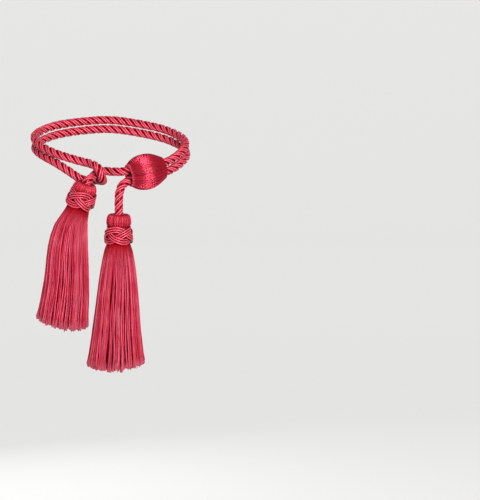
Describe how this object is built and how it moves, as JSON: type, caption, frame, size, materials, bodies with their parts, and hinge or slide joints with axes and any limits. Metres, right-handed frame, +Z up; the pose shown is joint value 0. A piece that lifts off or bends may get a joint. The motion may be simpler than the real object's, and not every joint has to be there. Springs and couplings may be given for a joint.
{
  "type": "curtain tieback with tassels",
  "caption": "Twisted rope tieback looped round a gathered curtain, with a thread-covered slide bead and a tassel with a plaited neck band on each rope end.",
  "frame": {"origin": "at the back, on the underside of the lower rope, where the tieback hangs on its wall hook", "axes": "+Z up, +Y towards the wall behind the curtain, +X to the right as seen from the front"},
  "size_m": [0.1622, 0.1348, 0.2485],
  "materials": {
    "rope_yarn": "satin rayon yarn, three twisted strands",
    "bead_thread": "satin thread laid lengthwise over a core",
    "tassel_yarn": "satin head and hanging satin yarn",
    "band_cord": "satin cord, plaited"
  },
  "bodies": {
    "root": {"rope": "rope_yarn", "bead": "bead_thread", "tassel_left": "tassel_yarn", "tassel_right": "tassel_yarn", "band_left": "band_cord", "band_right": "band_cord"}
  },
  "joints": []
}
